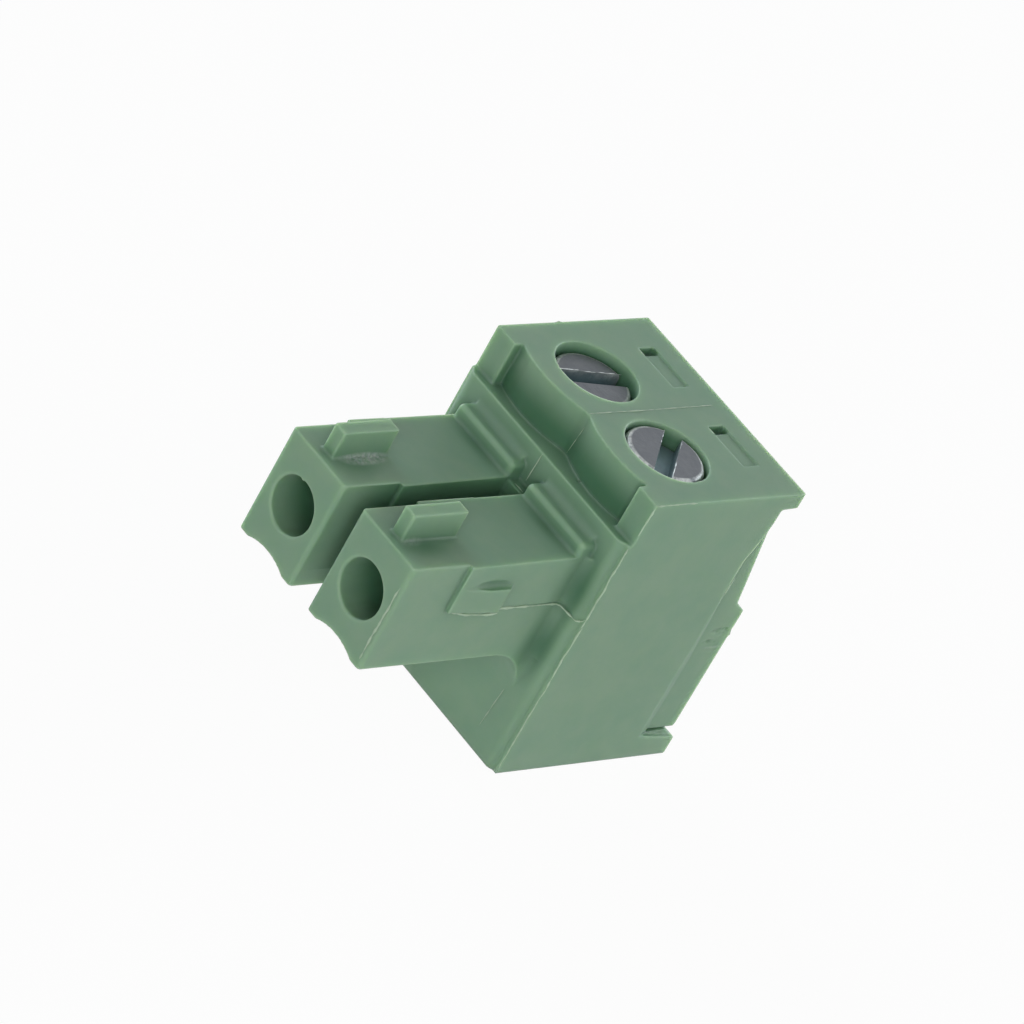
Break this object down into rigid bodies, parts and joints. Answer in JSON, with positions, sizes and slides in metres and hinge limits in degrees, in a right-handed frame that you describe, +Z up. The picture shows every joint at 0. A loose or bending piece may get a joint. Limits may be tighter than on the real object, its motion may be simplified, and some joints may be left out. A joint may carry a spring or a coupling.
{
  "type": "pluggable screw terminal block",
  "caption": "Plug-in terminal block with two sleeve-like contact fingers, slotted clamp screws on top and conductor entries at the back.",
  "frame": {"origin": "centre of the bounding box at the height of the flat underside", "axes": "+Z up through the screw heads, -Y out of the plug fingers, +Y out of the conductor entries, +X along the row of poles"},
  "size_m": [0.0086, 0.0154, 0.0111],
  "materials": {
    "polyamide": "satin moulded green polyamide",
    "zinc_steel": "zinc plated steel",
    "nickel_steel": "nickel plated folded steel",
    "tinned_copper": "matt tinned copper alloy"
  },
  "bodies": {
    "plug": {"housing": "polyamide", "contact_1": "tinned_copper", "contact_2": "tinned_copper"},
    "screw_1": {"screw_1": "zinc_steel"},
    "cage_1": {"cage_1": "nickel_steel"},
    "screw_2": {"screw_2": "zinc_steel"},
    "cage_2": {"cage_2": "nickel_steel"}
  },
  "joints": [
    {"name": "cage_1_rise", "type": "slide", "parent": "plug", "child": "cage_1", "axis": [0, 0, 1], "range_m": [0, 0.0028]},
    {"name": "screw_1_turn", "type": "hinge", "parent": "plug", "child": "screw_1", "pos_m": [-0.00191, 0.00265, 0.01078], "axis": [0, 0, -1], "range_deg": [0, 2520]},
    {"name": "cage_2_rise", "type": "slide", "parent": "plug", "child": "cage_2", "axis": [0, 0, 1], "range_m": [0, 0.0028]},
    {"name": "screw_2_turn", "type": "hinge", "parent": "plug", "child": "screw_2", "pos_m": [0.00191, 0.00265, 0.01078], "axis": [0, 0, -1], "range_deg": [0, 2520]}
  ],
  "couplings": [
    {"joint": "screw_1_turn", "follows": "cage_1_rise", "rad_per_m": 15708},
    {"joint": "screw_2_turn", "follows": "cage_2_rise", "rad_per_m": 15708}
  ]
}
